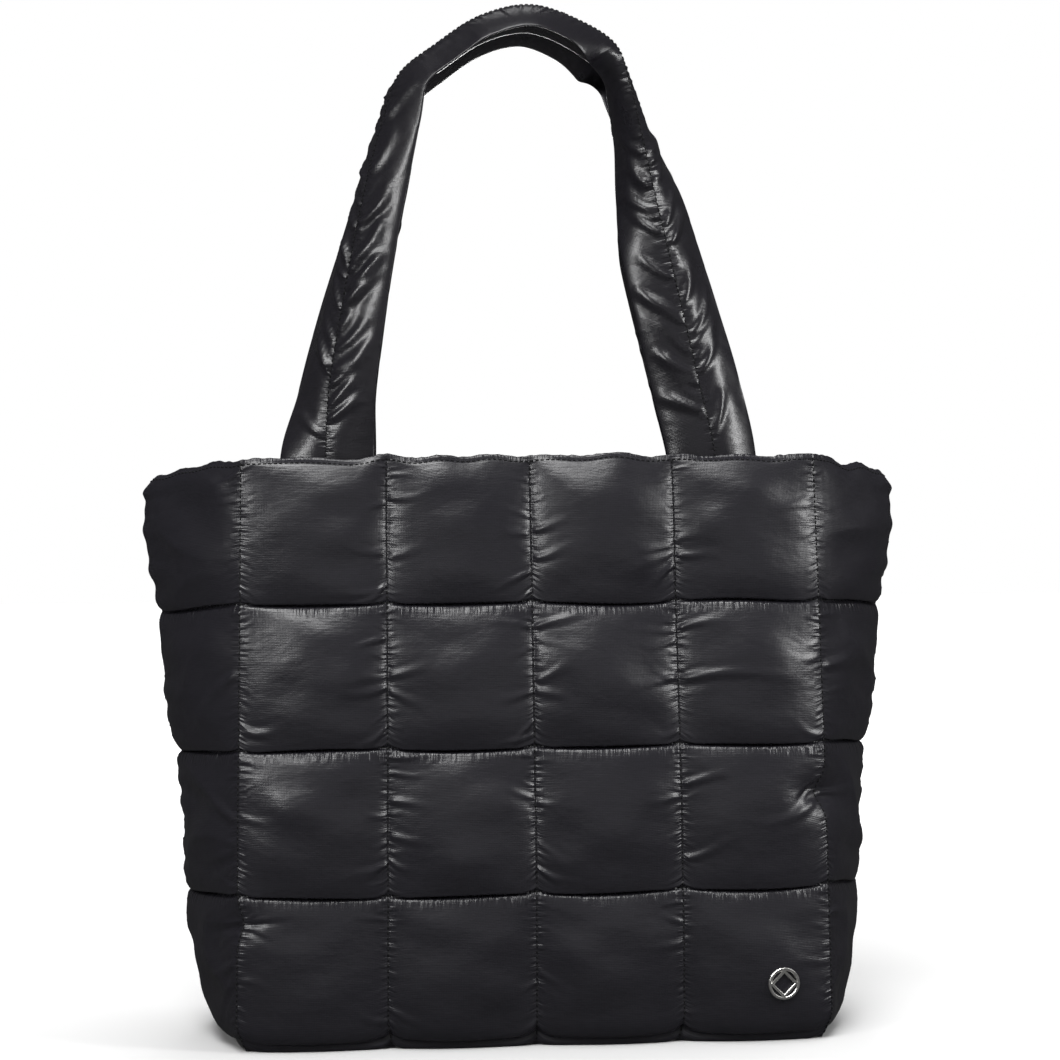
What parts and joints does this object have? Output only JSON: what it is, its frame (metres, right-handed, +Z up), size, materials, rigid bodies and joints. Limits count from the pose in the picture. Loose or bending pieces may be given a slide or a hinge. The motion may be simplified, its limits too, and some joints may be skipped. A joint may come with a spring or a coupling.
{
  "type": "puffer tote bag",
  "caption": "Open-topped tote bag of quilted, padded fabric with a flat base, padded shoulder straps with a stitched middle, and a small open metal badge.",
  "frame": {"origin": "on the floor, under the middle of the bag", "axes": "+X to the right across the front, +Y from the front to the back, +Z up from the base to the straps"},
  "size_m": [0.436, 0.1768, 0.5887],
  "materials": {
    "shell_fabric": "glossy black nylon",
    "strap_fabric": "glossy black nylon",
    "badge_metal": "polished, silver-coloured"
  },
  "bodies": {
    "root": {"front_panel": "shell_fabric", "back_panel": "shell_fabric", "base_panel": "shell_fabric", "front_strap": "strap_fabric", "rear_strap": "strap_fabric", "badge": "badge_metal"}
  },
  "joints": []
}
